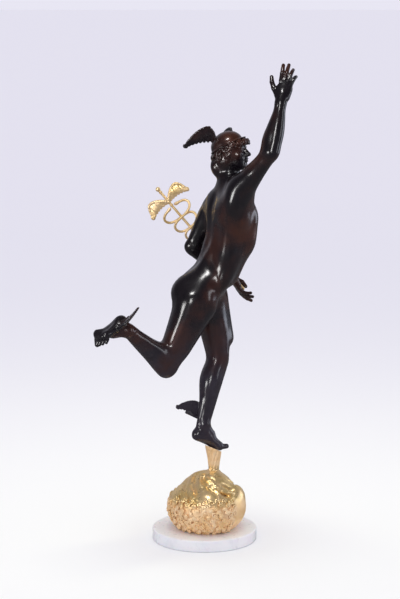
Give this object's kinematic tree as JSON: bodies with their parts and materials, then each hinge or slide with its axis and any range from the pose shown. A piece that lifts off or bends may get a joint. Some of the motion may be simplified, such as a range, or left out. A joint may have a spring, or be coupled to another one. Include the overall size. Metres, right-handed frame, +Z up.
{
  "type": "bronze statuette of a running messenger god",
  "caption": "Dark bronze running youth with winged cap, winged ankles and gilt staff, balanced on one foot on a gilt rock with a flared plume, on a round white marble base.",
  "frame": {"origin": "centre of the underside of the round marble base", "axes": "+Z up, the figure runs towards -Y and its left side is towards +X"},
  "size_m": [0.2926, 0.3352, 0.8174],
  "materials": {
    "bronze": "cast bronze with a dark brown polished patina",
    "gilt": "gilt bronze, polished above and matte in the curls",
    "marble": "honed white marble"
  },
  "bodies": {
    "root": {"figure": "bronze", "caduceus": "gilt", "gilt_mount": "gilt", "marble_base": "marble"}
  },
  "joints": []
}
